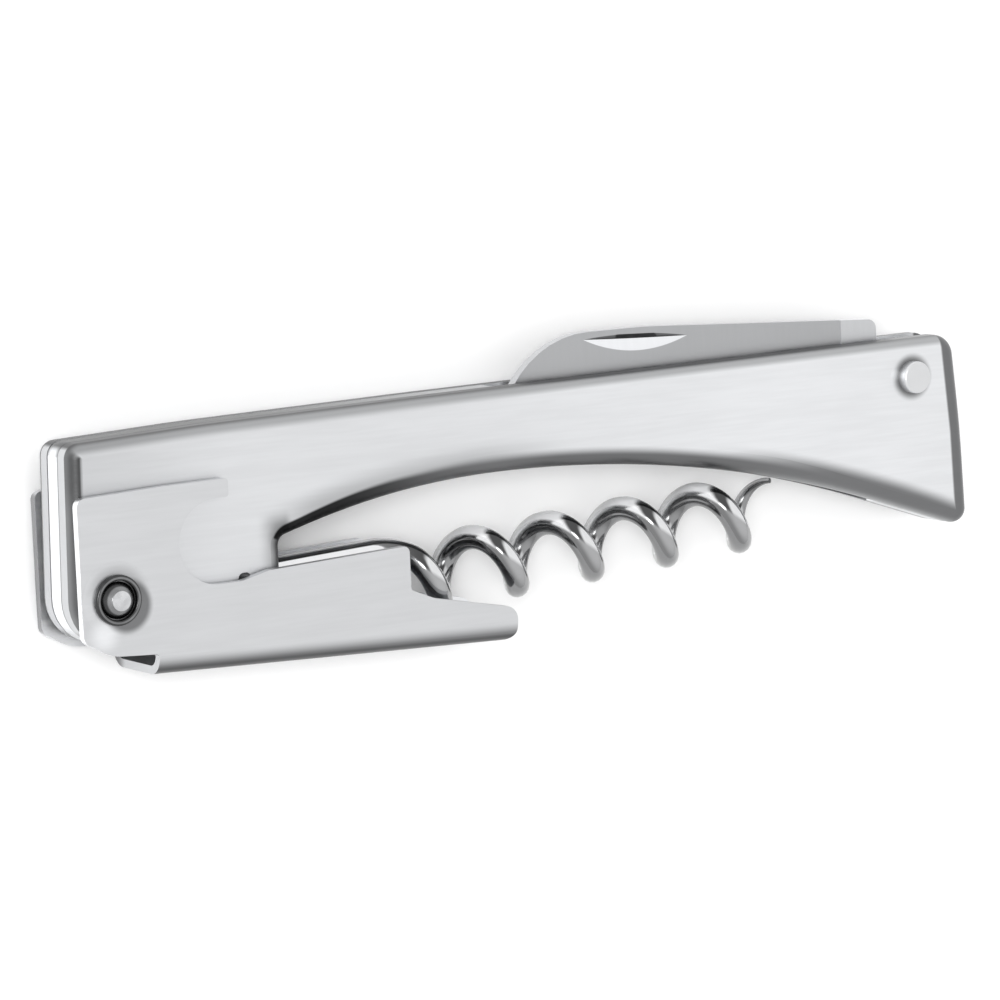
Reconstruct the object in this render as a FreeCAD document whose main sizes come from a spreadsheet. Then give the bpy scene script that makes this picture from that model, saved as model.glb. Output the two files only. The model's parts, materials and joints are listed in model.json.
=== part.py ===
import FreeCAD, Part
import math
import os
import Sketcher
from FreeCAD import Placement, Rotation, Vector

# A waiter's corkscrew, folded. The drawing looks at its near side: x runs along the handle from the lever's
# pivot to the blade's pivot, y towards the side that the blade opens on, and z towards the viewer, with
# z = 0 on the middle plane. At the end the assembly is set down on its far side.
os.makedirs("parts", exist_ok=True)
doc = FreeCAD.newDocument("corkscrew")
sheet = doc.addObject("Spreadsheet::Sheet", "sizes")

SIZES = {
    # Layers through the handle
    "handle_half": 3.9,
    "middle_half": 1.25,
    "shell_sheet": 0.9,
    "shell_depth": 2.65,
    "middle_depth": 2.5,
    "shell_edge_radius": 1.4,
    "inner_half": 3.0,
    # Handle seen from the side
    "handle_left": 1.75,
    "handle_right": 115.05,
    "boss_x": 6.05,
    "boss_y": -4.91,
    "boss_radius": 4.98,
    "arch_top": 3.28,
    "arch_left_radius": 100.0,
    "arch_right_radius": 150.0,
    "top_left": 11.5,
    "top_bend": 12.05,
    "top_middle": 12.4,
    "top_right": 12.92,
    "worm_slot_trim": 0.45,
    # Pivots
    "lever_pivot_x": 5.55,
    "lever_pivot_y": -4.65,
    "worm_pivot_x": 21.0,
    "worm_pivot_y": -1.7,
    "blade_pivot_x": 107.92,
    "blade_pivot_y": 8.6,
    "running_clearance": 0.05,
    # Lever
    "lever_half": 5.2,
    "lever_sheet": 0.9,
    "lever_bend_radius": 2.1,
    "lever_length": 60.0,
    "web_tilt": -2.12,
    "hook_radius": 4.48,
    "lever_pin_radius": 1.5,
    "lever_head_radius": 1.95,
    "lever_head_top_radius": 1.1,
    "lever_head_edge": 0.35,
    "lever_head_depth": 1.15,
    "lever_ring_radius": 2.65,
    "lever_ring_bore": 2.05,
    "lever_ring_depth": 0.7,
    "bush_radius": 2.2,
    "bush_length": 8.5,
    # Worm
    "wire_radius": 1.325,
    "coil_radius": 3.04,
    "coil_pitch": 9.758,
    "coil_tilt": 3.0,
    "coil_turns": 5.0,
    "coil_start_x": 42.11,
    "coil_start_y": -7.28,
    "tip_radius": 0.3,
    "taper_turns": 0.5,
    "worm_pin_radius": 1.55,
    "worm_washer_radius": 2.8,
    "worm_washer_depth": 1.6,
    # Blade
    "blade_half": 0.7,
    "blade_depth": 1.4,
    "blade_grind": 0.1,
    "nick_depth": 0.35,
    "tang_radius": 4.0,
    "blade_rivet_radius": 1.25,
    "blade_head_radius": 1.8,
    "blade_head_depth": 1.2,
    "blade_washer_radius": 3.2,
    "blade_washer_depth": 2.25,
    # Blind pins
    "shell_pin_radius": 0.65,
}

for row, (alias, value) in enumerate(SIZES.items(), start=1):
    sheet.set("A%d" % row, alias)
    sheet.set("B%d" % row, str(value))
    sheet.setAlias("B%d" % row, alias)
doc.recompute()


def size(alias):
    return float(sheet.get(alias))


LEVER_PIVOT = Vector(size("lever_pivot_x"), size("lever_pivot_y"), 0)
WORM_PIVOT = Vector(size("worm_pivot_x"), size("worm_pivot_y"), 0)
BLADE_PIVOT = Vector(size("blade_pivot_x"), size("blade_pivot_y"), 0)
SPINE_PINS = {"spine_pin_1": Vector(7, 6, 0), "spine_pin_2": Vector(42, 10.75, 0)}
SPRING_PINS = {"spring_pin_1": Vector(29.5, 2.4, 0), "spring_pin_2": Vector(31, 5.7, 0)}
FOOT_PINS = {"foot_pin_1": Vector(107.5, -3.8, 0), "foot_pin_2": Vector(112, -4.4, 0)}


# ---- Drawing helpers

def tangent_arcs(corners):
    arcs = []
    for index, (x, y, radius) in enumerate(corners):
        here = Vector(x, y, 0)
        before = Vector(*corners[index - 1][:2], 0) - here
        after = Vector(*corners[(index + 1) % len(corners)][:2], 0) - here
        half_angle = before.getAngle(after) / 2
        reach = radius / math.tan(half_angle)
        start = here + before.normalize() * reach
        end = here + after.normalize() * reach
        middle = here + (before + after).normalize() * (radius / math.sin(half_angle) - radius)
        arcs.append((start, middle, end, radius))
    return arcs


def draw_outline(sketch, corners):
    # A closed outline through (x, y, radius) corners, each rounded by a tangent arc
    arcs = tangent_arcs(corners)
    for index, (start, middle, end, radius) in enumerate(arcs):
        if radius:
            sketch.addGeometry(Part.Arc(start, middle, end), False)
        next_start = arcs[(index + 1) % len(arcs)][0]
        if end.distanceToPoint(next_start) > 1e-6:
            sketch.addGeometry(Part.LineSegment(end, next_start), False)


def inset(corners, distance):
    # The same outline moved inwards; corners run anticlockwise
    moved = []
    for index, (x, y, radius) in enumerate(corners):
        here = Vector(x, y, 0)
        arriving = (here - Vector(*corners[index - 1][:2], 0)).normalize()
        leaving = (Vector(*corners[(index + 1) % len(corners)][:2], 0) - here).normalize()
        arriving_side = Vector(-arriving.y, arriving.x, 0)
        leaving_side = Vector(-leaving.y, leaving.x, 0)
        shift = (arriving_side + leaving_side) * (distance / (1 + arriving_side.dot(leaving_side)))
        turns_left = arriving.cross(leaving).z > 0
        new_radius = max(radius - distance, 0.2) if turns_left else radius + distance
        moved.append((x + shift.x, y + shift.y, new_radius))
    return moved


def new_body(name):
    body = doc.addObject("PartDesign::Body", name)
    body.Label = name
    return body


def sketch_on(body, role, name, height="0"):
    sketch = body.newObject("Sketcher::SketchObject", name)
    plane = next(item for item in body.Origin.OriginFeatures if item.Role == role)
    sketch.AttachmentSupport = (plane, [""])
    sketch.MapMode = "FlatFace"
    sketch.setExpression("AttachmentOffset.Base.z", height)
    return sketch


def draw_circle(sketch, centre_x, centre_y, radius):
    # A circle whose place and radius follow the sheet
    centre = Vector(size(centre_x), size(centre_y), 0)
    index = sketch.addGeometry(Part.Circle(centre, Vector(0, 0, 1), 1.0), False)
    rules = (("DistanceX", (-1, 1, index, 3, centre.x), centre_x),
             ("DistanceY", (-1, 1, index, 3, centre.y), centre_y),
             ("Radius", (index, 1.0), None))
    for kind, values, alias in rules:
        rule = sketch.addConstraint(Sketcher.Constraint(kind, *values))
        expression = radius if alias is None else "sizes." + alias
        sketch.setExpression("Constraints[%d]" % rule, expression)


def pad(body, sketch, length):
    feature = body.newObject("PartDesign::Pad", sketch.Name + "_pad")
    feature.Profile = sketch
    feature.setExpression("Length", length)
    sketch.Visibility = False
    doc.recompute()
    return feature


def pocket(body, sketch, length):
    # Cuts towards +z from the sketch
    before = body.Shape.Volume
    feature = body.newObject("PartDesign::Pocket", sketch.Name + "_pocket")
    feature.Profile = sketch
    feature.Reversed = True
    feature.setExpression("Length", length)
    doc.recompute()
    if not body.Shape.Volume < before - 1e-3:
        raise RuntimeError(sketch.Name + " cuts nothing")
    return feature


def turned(name, half_profile):
    # A round part about z, from (radius, z, corner radius) corners
    body = new_body(name)
    sketch = sketch_on(body, "XZ_Plane", name + "_profile")
    draw_outline(sketch, half_profile)
    feature = body.newObject("PartDesign::Revolution", name + "_turning")
    feature.Profile = sketch
    feature.ReferenceAxis = (sketch, ["V_Axis"])
    feature.Angle = 360
    doc.recompute()
    return body


def tube(name, outer, inner, length):
    # A Part tube whose radii and length follow the sheet
    cut = doc.addObject("Part::Cut", name)
    for slot, radius in (("Base", outer), ("Tool", inner)):
        cylinder = doc.addObject("Part::Cylinder", name + "_" + slot.lower())
        cylinder.setExpression("Radius", radius)
        cylinder.setExpression("Height", length)
        setattr(cut, slot, cylinder)
    cut.Label = name
    doc.recompute()
    return cut


# ---- Handle

def boss_corner():
    # The handle's left edge and its underside run into the round boss that holds the lever's pivot
    shoulder = Vector(*SHOULDER[:2], 0)
    boss = Vector(size("boss_x"), size("boss_y"), 0)
    reach = boss - shoulder
    slope = math.atan2(reach.y, reach.x) + math.asin(size("boss_radius") / reach.Length)
    left = boss.x - size("boss_radius")
    return left, shoulder.y + (left - shoulder.x) * math.tan(slope), size("boss_radius")


def arch_corner(radius, side, end_x, apex_x=54.0):
    # The arch is two arcs that meet at its top; each is one corner of the outline
    turn = math.asin(side * (end_x - apex_x) / radius)
    corner_x = apex_x + side * radius * math.tan(turn / 2)
    end_y = size("arch_top") - abs(end_x - corner_x) * math.tan(turn)
    return (corner_x, size("arch_top"), radius), (end_x, end_y)


SHOULDER = (14.5, -6.2, 2.0)
LEFT_ARC, LEFT_ARC_END = arch_corner(size("arch_left_radius"), -1, 27.0)
RIGHT_ARC, RIGHT_ARC_END = arch_corner(size("arch_right_radius"), 1, 104.0)
POST_X = 26.0
FOOT_X = 115.45
TOP_BEND_X = 18.0


def along_arc_line(corner, end, x):
    slope = (end[1] - corner[1]) / (end[0] - corner[0])
    return end[1] + (x - end[0]) * slope


HANDLE = [
    boss_corner(),
    SHOULDER,
    (POST_X, -6.0, 1.5),
    (POST_X, along_arc_line(LEFT_ARC, LEFT_ARC_END, POST_X), 1.1),
    LEFT_ARC,
    RIGHT_ARC,
    (FOOT_X, along_arc_line(RIGHT_ARC, RIGHT_ARC_END, FOOT_X), 1.5),
    (size("handle_right"), 2.0, 120.0),
    (114.1, size("top_right"), 2.4),
    (45.0, size("top_middle"), 400.0),
    (TOP_BEND_X, size("top_bend"), 250.0),
    (size("handle_left"), size("top_left"), 1.5),
]


def shell():
    # A pressed tray: flat outside, rounded all round, with its edge turned in towards the middle
    body = new_body("near_shell")
    outline = sketch_on(body, "XY_Plane", "shell_outline", "sizes.middle_half")
    draw_outline(outline, HANDLE)
    plate = pad(body, outline, "sizes.shell_depth")
    outer_faces = ["Face%d" % number for number, face in enumerate(plate.Shape.Faces, start=1)
                   if abs(face.CenterOfMass.z - size("handle_half")) < 1e-6]
    rounding = body.newObject("PartDesign::Fillet", "shell_rounding")
    rounding.Base = (plate, outer_faces)
    rounding.setExpression("Radius", "sizes.shell_edge_radius")
    doc.recompute()

    tray = sketch_on(body, "XY_Plane", "shell_tray", "sizes.middle_half")
    draw_outline(tray, inset(HANDLE, size("shell_sheet")))
    pocket(body, tray, "sizes.shell_depth - sizes.shell_sheet")

    holes = sketch_on(body, "XY_Plane", "shell_holes", "sizes.middle_half")
    draw_circle(holes, "lever_pivot_x", "lever_pivot_y", "sizes.bush_radius")
    draw_circle(holes, "blade_pivot_x", "blade_pivot_y", "sizes.blade_rivet_radius")
    pocket(body, holes, "sizes.shell_depth")

    # The turned-in edge is lower where the worm's eye comes out, and has a relief notch there
    slot = sketch_on(body, "XY_Plane", "worm_slot", "sizes.middle_half")
    draw_outline(slot, [(15, -8, 0), (27, -8, 0), (27, -2.6, 0), (15, -2.6, 0)])
    pocket(body, slot, "sizes.worm_slot_trim")
    notch = sketch_on(body, "XY_Plane", "relief_notch", "sizes.middle_half")
    draw_outline(notch, [(19.1, -8, 0), (21.1, -8, 0), (20.9, -3.7, 0.3), (20.0, -3.7, 0.5)])
    pocket(body, notch, "sizes.shell_depth")
    return body


def middle_plate(name, corners, pins, bush=False):
    body = new_body(name)
    outline = sketch_on(body, "XY_Plane", name + "_outline", "-sizes.middle_half")
    draw_outline(outline, corners)
    pad(body, outline, "sizes.middle_depth")
    holes = sketch_on(body, "XY_Plane", name + "_holes", "-sizes.middle_half")
    for place in pins.values():
        holes.addGeometry(Part.Circle(place, Vector(0, 0, 1), size("shell_pin_radius")), False)
    if bush:
        draw_circle(holes, "lever_pivot_x", "lever_pivot_y", "sizes.bush_radius")
    pocket(body, holes, "sizes.middle_depth")
    return body


near_shell = shell()
far_shell = doc.addObject("Part::Mirroring", "far_shell")
far_shell.Label = "far_shell"
far_shell.Source = near_shell
far_shell.Normal = Vector(0, 0, 1)

BLOCK_X = 13.3
BAR_END_X = 55.3
block_bottom = SHOULDER[1] + (BLOCK_X - SHOULDER[0]) * (SHOULDER[1] - boss_corner()[1]) / (
    SHOULDER[0] - boss_corner()[0])
spine_plate = middle_plate("spine_plate", [
    boss_corner(),
    (BLOCK_X, block_bottom, 0.5),
    (BLOCK_X, 9.6, 2.0),
    (BAR_END_X, 9.9, 1.2),
    (BAR_END_X, 12.49, 1.3),
    (45.0, size("top_middle"), 400.0),
    (TOP_BEND_X, size("top_bend"), 250.0),
    (size("handle_left"), size("top_left"), 1.5),
], SPINE_PINS, bush=True)

back_spring = middle_plate("back_spring", [
    (27.0, along_arc_line(LEFT_ARC, LEFT_ARC_END, 27.0), 0),
    LEFT_ARC,
    (106.2, size("arch_top"), 0.5),
    (106.2, 4.6, 0.4),
    (96.0, 5.3, 20.0),
    (34.0, 5.5, 2.0),
    (34.0, 7.6, 0.8),
    (27.0, 7.6, 0.8),
], SPRING_PINS)

foot_spacer = middle_plate("foot_spacer", [
    (104.6, along_arc_line(RIGHT_ARC, RIGHT_ARC_END, 104.6), 0.3),
    HANDLE[6],
    (115.15, -1.2, 0.3),
    (104.6, -1.2, 0.3),
], FOOT_PINS)


def blind_pin(name, place, radius):
    pin = doc.addObject("Part::Cylinder", name)
    pin.Label = name
    pin.setExpression("Radius", radius)
    pin.setExpression("Height", "2 * sizes.inner_half")
    pin.Placement = Placement(place - Vector(0, 0, size("inner_half")), Rotation())
    return pin


shell_pins = [blind_pin(name, place, "sizes.shell_pin_radius")
              for name, place in {**SPINE_PINS, **SPRING_PINS, **FOOT_PINS}.items()]


# ---- Lever: a folded channel, cut to its side outline

LEVER_SIDE = [
    (1.55, -8.7, 1.2),
    (4.9, -10.5, 4.0),
    (10.15, -10.85, 0.4),
    (10.15, -13.6, 0),
    (53.62, -14.77, 1.2),
    (53.75, -11.1, 1.6),
    (43.4, -8.9, 4.0),
    (40.6, -7.7, 0.3),
    (40.6, -2.95, 0.7),
    (23.6, -3.62, 2.5),
    (20.2, -4.4, 3.0),
    (17.6 - size("hook_radius"), -4.4, size("hook_radius")),
    (17.6 - size("hook_radius"), 4.58, size("hook_radius")),
    (19.2, 4.58, 0.4),
    (19.2, 6.55, 0.4),
    (11.3, 6.45, 10.0),
    (1.55, 6.1, 0.9),
]


def lever():
    body = new_body("lever_channel")
    section = sketch_on(body, "YZ_Plane", "lever_section")
    outer, inner = size("lever_half"), size("lever_half") - size("lever_sheet")
    top = 26.0
    draw_outline(section, [
        (0, outer, size("lever_bend_radius")),
        (0, -outer, size("lever_bend_radius")),
        (top, -outer, 0),
        (top, -inner, 0),
        (size("lever_sheet"), -inner, size("lever_bend_radius") - size("lever_sheet")),
        (size("lever_sheet"), inner, size("lever_bend_radius") - size("lever_sheet")),
        (top, inner, 0),
        (top, outer, 0),
    ])
    tilt = Rotation(Vector(0, 1, 0), size("web_tilt"))
    section.AttachmentOffset = Placement(Vector(-12.79, 0, 0), tilt) * Placement(Vector(0, 0, -3), Rotation())
    section.setExpression("AttachmentOffset.Base.z", None)
    pad(body, section, "sizes.lever_length")
    side = sketch_on(body, "XY_Plane", "lever_side", "-sizes.lever_half - 1")
    draw_outline(side, LEVER_SIDE)
    draw_outline(side, [(-30, -40, 0), (90, -40, 0), (90, 40, 0), (-30, 40, 0)])
    pocket(body, side, "2 * sizes.lever_half + 2")
    hole = sketch_on(body, "XY_Plane", "lever_hole", "-sizes.lever_half")
    draw_circle(hole, "lever_pivot_x", "lever_pivot_y", "sizes.lever_pin_radius")
    pocket(body, hole, "2 * sizes.lever_half")
    return body


lever_channel = lever()

ring_base = size("lever_half")
head_edge = ring_base + size("lever_head_edge")
head_top = ring_base + size("lever_head_depth")
lever_pivot_pin = turned("lever_pivot_pin", [
    (0, -head_top, 0),
    (size("lever_head_top_radius"), -head_top, 0.2),
    (size("lever_head_radius"), -head_edge, 0.1),
    (size("lever_head_radius"), -ring_base, 0),
    (size("lever_pin_radius"), -ring_base, 0),
    (size("lever_pin_radius"), ring_base, 0),
    (size("lever_head_radius"), ring_base, 0),
    (size("lever_head_radius"), head_edge, 0.1),
    (size("lever_head_top_radius"), head_top, 0.2),
    (0, head_top, 0),
])
pivot_washers = [
    tube(name, "sizes.lever_ring_radius", "sizes.lever_ring_bore", "sizes.lever_ring_depth")
    for name in ("pivot_washer_near", "pivot_washer_far")
]
lever_pivot_bush = tube("lever_pivot_bush", "sizes.bush_radius",
                        "sizes.lever_pin_radius + sizes.running_clearance", "sizes.bush_length")


# ---- Worm: an eye on its pin, a shank and a helix that ends in a point

def coil_frame():
    tilt = math.radians(size("coil_tilt"))
    axis = Vector(math.cos(tilt), math.sin(tilt), 0)
    across = Vector(-math.sin(tilt), math.cos(tilt), 0)
    return Placement(Vector(size("coil_start_x"), size("coil_start_y"), 0),
                     Rotation(across, Vector(0, 0, 1), axis, "ZXY"))


def coil_point(angle):
    local = Vector(size("coil_radius") * math.cos(angle), size("coil_radius") * math.sin(angle),
                   size("coil_pitch") * angle / (2 * math.pi))
    return coil_frame().multVec(local)


def coil_direction(angle):
    local = Vector(-size("coil_radius") * math.sin(angle), size("coil_radius") * math.cos(angle),
                   size("coil_pitch") / (2 * math.pi))
    return coil_frame().Rotation.multVec(local).normalize()


def coil_edge(first, last):
    # The stretch of the helix between two angles, in radians from the top of its first turn
    rise = size("coil_pitch") / (2 * math.pi)
    helix = Part.makeHelix(size("coil_pitch"), rise * (last - first), size("coil_radius"))
    turn = Placement(Vector(0, 0, rise * first), Rotation(Vector(0, 0, 1), math.degrees(first)))
    helix.Placement = coil_frame() * turn
    return helix


def disc_at(place, direction, radius):
    return Part.Wire(Part.makeCircle(radius, place, direction))


def swept(path, discs):
    pipe = Part.BRepOffsetAPI.MakePipeShell(Part.Wire(path))
    pipe.setFrenetMode(True)
    for disc in discs:
        pipe.add(disc)
    pipe.build()
    pipe.makeSolid()
    return pipe.shape()


def worm():
    wire = size("wire_radius")
    eye_radius = size("worm_pin_radius") + size("running_clearance") + wire + 0.015
    eye = Part.makeTorus(eye_radius, wire, WORM_PIVOT)
    shank_start = WORM_PIVOT - Vector(0, eye_radius, 0)
    first = math.radians(50)
    taper = 2 * math.pi * (size("coil_turns") - size("taper_turns"))
    last = 2 * math.pi * size("coil_turns")
    shank_end = Vector(38.6, -3.84, 0)
    shank_direction = (shank_end - shank_start).normalize()
    bend = Part.BSplineCurve()
    bend.interpolate([shank_end, coil_point(first)], InitialTangent=shank_direction * 8,
                     FinalTangent=coil_direction(first) * 8)
    shank = Part.makeCylinder(wire, (shank_end - shank_start).Length, shank_start, shank_direction)
    bent = swept([bend.toShape()], [disc_at(shank_end, shank_direction, wire)])
    coil = swept(coil_edge(first, taper).Edges, [disc_at(coil_point(first), coil_direction(first), wire)])
    point = swept(coil_edge(taper, last).Edges,
                  [disc_at(coil_point(taper), coil_direction(taper), wire),
                   disc_at(coil_point(last), coil_direction(last), size("tip_radius"))])
    return eye.fuse([shank, bent, coil, point])


worm_part = doc.addObject("Part::Feature", "worm")
worm_part.Label = "worm"
worm_part.Shape = worm()
worm_pivot_pin = blind_pin("worm_pivot_pin", WORM_PIVOT, "sizes.worm_pin_radius")
worm_washers = [
    tube(name, "sizes.worm_washer_radius", "sizes.worm_pin_radius + sizes.running_clearance",
         "sizes.worm_washer_depth") for name in ("worm_washer_near", "worm_washer_far")
]


# ---- Blade

TANG = size("tang_radius")
TANG_RAMP = math.radians(35)
EDGE_Y = 6.2
heel_x = BLADE_PIVOT.x - TANG * math.tan(TANG_RAMP / 2)
ramp_x = heel_x - (EDGE_Y - BLADE_PIVOT.y + TANG) / math.tan(TANG_RAMP)
BLADE_SIDE = [
    (58.0, EDGE_Y, 4.0),
    (ramp_x, EDGE_Y, 0.6),
    (heel_x, BLADE_PIVOT.y - TANG, TANG),
    (BLADE_PIVOT.x + TANG, BLADE_PIVOT.y - TANG, TANG),
    (BLADE_PIVOT.x + TANG, BLADE_PIVOT.y + TANG, TANG),
    (105.5, BLADE_PIVOT.y + TANG, 0.5),
    (105.5, 15.15, 1.1),
    (74.4, 17.1, 60.0),
    (60.72, 17.2, 12.0),
    (56.5, 11.17, 0.6),
]
RICASSO_X = 100.6
NICK = (Vector(66.3, 16.25, 0), Vector(73.15, 14.5, 0), Vector(80.1, 15.55, 0))


def blade():
    body = new_body("blade")
    outline = sketch_on(body, "XY_Plane", "blade_outline", "-sizes.blade_half")
    draw_outline(outline, BLADE_SIDE)
    pad(body, outline, "sizes.blade_depth")
    for name, height in (("near_grind", "sizes.blade_half - sizes.blade_grind"),
                         ("far_grind", "-sizes.blade_half")):
        grind = sketch_on(body, "XY_Plane", name, height)
        draw_outline(grind, [(50, 0, 0), (RICASSO_X, 0, 0), (RICASSO_X, 20, 0), (50, 20, 0)])
        pocket(body, grind, "sizes.blade_grind")
    nick = sketch_on(body, "XY_Plane", "nail_nick", "sizes.blade_half - sizes.blade_grind - sizes.nick_depth")
    nick.addGeometry(Part.Arc(*NICK), False)
    nick.addGeometry(Part.LineSegment(NICK[2], NICK[0]), False)
    pocket(body, nick, "sizes.nick_depth + sizes.blade_grind")
    hole = sketch_on(body, "XY_Plane", "blade_hole", "-sizes.blade_half")
    draw_circle(hole, "blade_pivot_x", "blade_pivot_y", "sizes.blade_rivet_radius + sizes.running_clearance")
    pocket(body, hole, "sizes.blade_depth")
    return body


blade_part = blade()
shell_face = size("handle_half")
head_face = shell_face + size("blade_head_depth")
blade_rivet = turned("blade_rivet", [
    (0, -head_face, 0),
    (size("blade_head_radius"), -head_face, 0.25),
    (size("blade_head_radius"), -shell_face, 0),
    (size("blade_rivet_radius"), -shell_face, 0),
    (size("blade_rivet_radius"), shell_face, 0),
    (size("blade_head_radius"), shell_face, 0),
    (size("blade_head_radius"), head_face, 0.25),
    (0, head_face, 0),
])
blade_washers = [
    tube(name, "sizes.blade_washer_radius", "sizes.blade_rivet_radius", "sizes.blade_washer_depth")
    for name in ("blade_washer_near", "blade_washer_far")
]


# ---- Places

def put(part, pivot, height):
    part.Placement = Placement(pivot + Vector(0, 0, height), Rotation())


put(lever_pivot_pin, LEVER_PIVOT, 0)
put(pivot_washers[0], LEVER_PIVOT, ring_base)
put(pivot_washers[1], LEVER_PIVOT, -ring_base - size("lever_ring_depth"))
put(lever_pivot_bush, LEVER_PIVOT, -size("bush_length") / 2)
put(worm_washers[0], WORM_PIVOT, size("inner_half") - size("worm_washer_depth") - 0.02)
put(worm_washers[1], WORM_PIVOT, -size("inner_half") + 0.02)
put(blade_rivet, BLADE_PIVOT, 0)
put(blade_washers[0], BLADE_PIVOT, size("inner_half") - size("blade_washer_depth") - 0.02)
put(blade_washers[1], BLADE_PIVOT, -size("inner_half") + 0.02)
doc.recompute()

parts = [near_shell, far_shell, spine_plate, back_spring, foot_spacer, *shell_pins, lever_channel,
         lever_pivot_pin, *pivot_washers, lever_pivot_bush, worm_part, worm_pivot_pin, *worm_washers,
         blade_part, blade_rivet, *blade_washers]

# The origin is the middle of the assembly's underside
box = Part.makeCompound([part.Shape for part in parts]).optimalBoundingBox(False)
shift = Vector(-(box.XMin + box.XMax) / 2, -(box.YMin + box.YMax) / 2, -box.ZMin)
for part in parts:
    if part is far_shell:
        part.Base = Vector(0, 0, shift.z)
    else:
        part.Placement = Placement(shift, Rotation()) * part.Placement
doc.recompute()

for item in doc.Objects:
    if "Invalid" in item.State or "Error" in item.State:
        raise RuntimeError("%s failed: %s" % (item.Label, item.State))
for part in parts:
    if part.Shape.isNull() or not part.Shape.isValid() or not part.Shape.Solids:
        raise RuntimeError(part.Label + " has no valid shape")
    part.Shape.exportStep("parts/%s.step" % part.Label)
    print("%-20s %d solid, %9.2f mm3" % (part.Label, len(part.Shape.Solids), part.Shape.Volume))

print("size", [round(value, 3) for value in (box.XLength, box.YLength, box.ZLength)])
print("shift", [round(value, 4) for value in shift])
for name, pivot in (("lever", LEVER_PIVOT), ("worm", WORM_PIVOT), ("blade", BLADE_PIVOT)):
    print(name, "pivot at", [round(value, 4) for value in pivot + shift])
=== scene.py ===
import json
import math
import bpy
from mathutils import Matrix, Vector


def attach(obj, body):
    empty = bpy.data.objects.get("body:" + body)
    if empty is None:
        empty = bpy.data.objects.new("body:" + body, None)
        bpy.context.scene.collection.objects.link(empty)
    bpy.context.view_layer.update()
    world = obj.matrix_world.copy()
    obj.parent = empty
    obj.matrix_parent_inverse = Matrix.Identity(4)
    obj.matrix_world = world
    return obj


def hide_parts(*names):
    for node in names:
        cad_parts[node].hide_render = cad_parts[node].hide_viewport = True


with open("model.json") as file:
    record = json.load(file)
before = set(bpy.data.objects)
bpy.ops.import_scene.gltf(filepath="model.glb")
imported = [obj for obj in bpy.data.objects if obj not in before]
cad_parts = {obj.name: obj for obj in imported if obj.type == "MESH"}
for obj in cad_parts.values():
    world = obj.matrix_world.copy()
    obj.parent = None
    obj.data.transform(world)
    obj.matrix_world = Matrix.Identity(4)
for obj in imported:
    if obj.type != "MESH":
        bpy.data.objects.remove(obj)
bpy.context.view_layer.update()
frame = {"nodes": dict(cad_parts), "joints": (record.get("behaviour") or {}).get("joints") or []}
mm = 0.001

# Pieces are drawn in millimetres on the side of the folded tool: x along the handle, y towards the blade,
# z = 0 on the middle plane. The lever's hinge ties that drawing to the frame.
leverPivot = (5.55, -4.65)
wormPivot = (21.0, -1.7)
bladePivot = (107.92, 8.6)
hinge = next(joint for joint in frame["joints"] if joint["name"] == "lever_hinge")
drawingOrigin = Vector(hinge["pos_m"]) - Vector((*leverPivot, 0)) * mm


def place(x, y, z=0.0):
    return drawingOrigin + Vector((x, y, z)) * mm


def pickOnly(piece):
    if bpy.context.object and bpy.context.object.mode != "OBJECT":
        bpy.ops.object.mode_set(mode="OBJECT")
    bpy.ops.object.select_all(action="DESELECT")
    piece.select_set(True)
    bpy.context.view_layer.objects.active = piece


def settle(piece):  # origin to the frame's origin, place into the mesh
    pickOnly(piece)
    bpy.ops.object.transform_apply(location=True, rotation=True, scale=True)


def closeUp(piece):  # doubles merged, then all faces turned outwards
    pickOnly(piece)
    bpy.ops.object.mode_set(mode="EDIT")
    bpy.ops.mesh.select_all(action="SELECT")
    bpy.ops.mesh.remove_doubles(threshold=1e-6)
    bpy.ops.mesh.normals_make_consistent(inside=False)
    bpy.ops.object.mode_set(mode="OBJECT")


def useModifier(piece, kind, **settings):
    pickOnly(piece)
    bpy.ops.object.modifier_add(type=kind)
    modifier = piece.modifiers[-1]
    for name, value in settings.items():
        setattr(modifier, name, value)
    bpy.ops.object.modifier_apply(modifier=modifier.name)


def cutWith(piece, tool, operation="DIFFERENCE"):
    useModifier(piece, "BOOLEAN", operation=operation, solver="EXACT", object=tool)
    bpy.data.objects.remove(tool)


def boxTool(low, high):
    middle = (place(*low) + place(*high)) / 2
    bpy.ops.object.select_all(action="DESELECT")
    bpy.ops.mesh.primitive_cube_add(size=1, location=middle, scale=place(*high) - place(*low))
    settle(bpy.context.object)
    return bpy.context.object


def roundTool(centre, radius, low, high):
    bpy.ops.object.select_all(action="DESELECT")
    bpy.ops.mesh.primitive_cylinder_add(vertices=64, radius=radius * mm, depth=(high - low) * mm,
                                        location=place(*centre, (low + high) / 2))
    settle(bpy.context.object)
    return bpy.context.object


def selectFaces(piece, wanted):
    # Edit mode, face selection, with only the faces for which wanted(centre, normal) holds
    pickOnly(piece)
    bpy.ops.object.mode_set(mode="EDIT")
    bpy.ops.mesh.select_mode(type="FACE")
    bpy.ops.mesh.select_all(action="DESELECT")
    bpy.ops.object.mode_set(mode="OBJECT")
    for face in piece.data.polygons:
        face.select = bool(wanted(face.center, face.normal))
    bpy.ops.object.mode_set(mode="EDIT")


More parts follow.
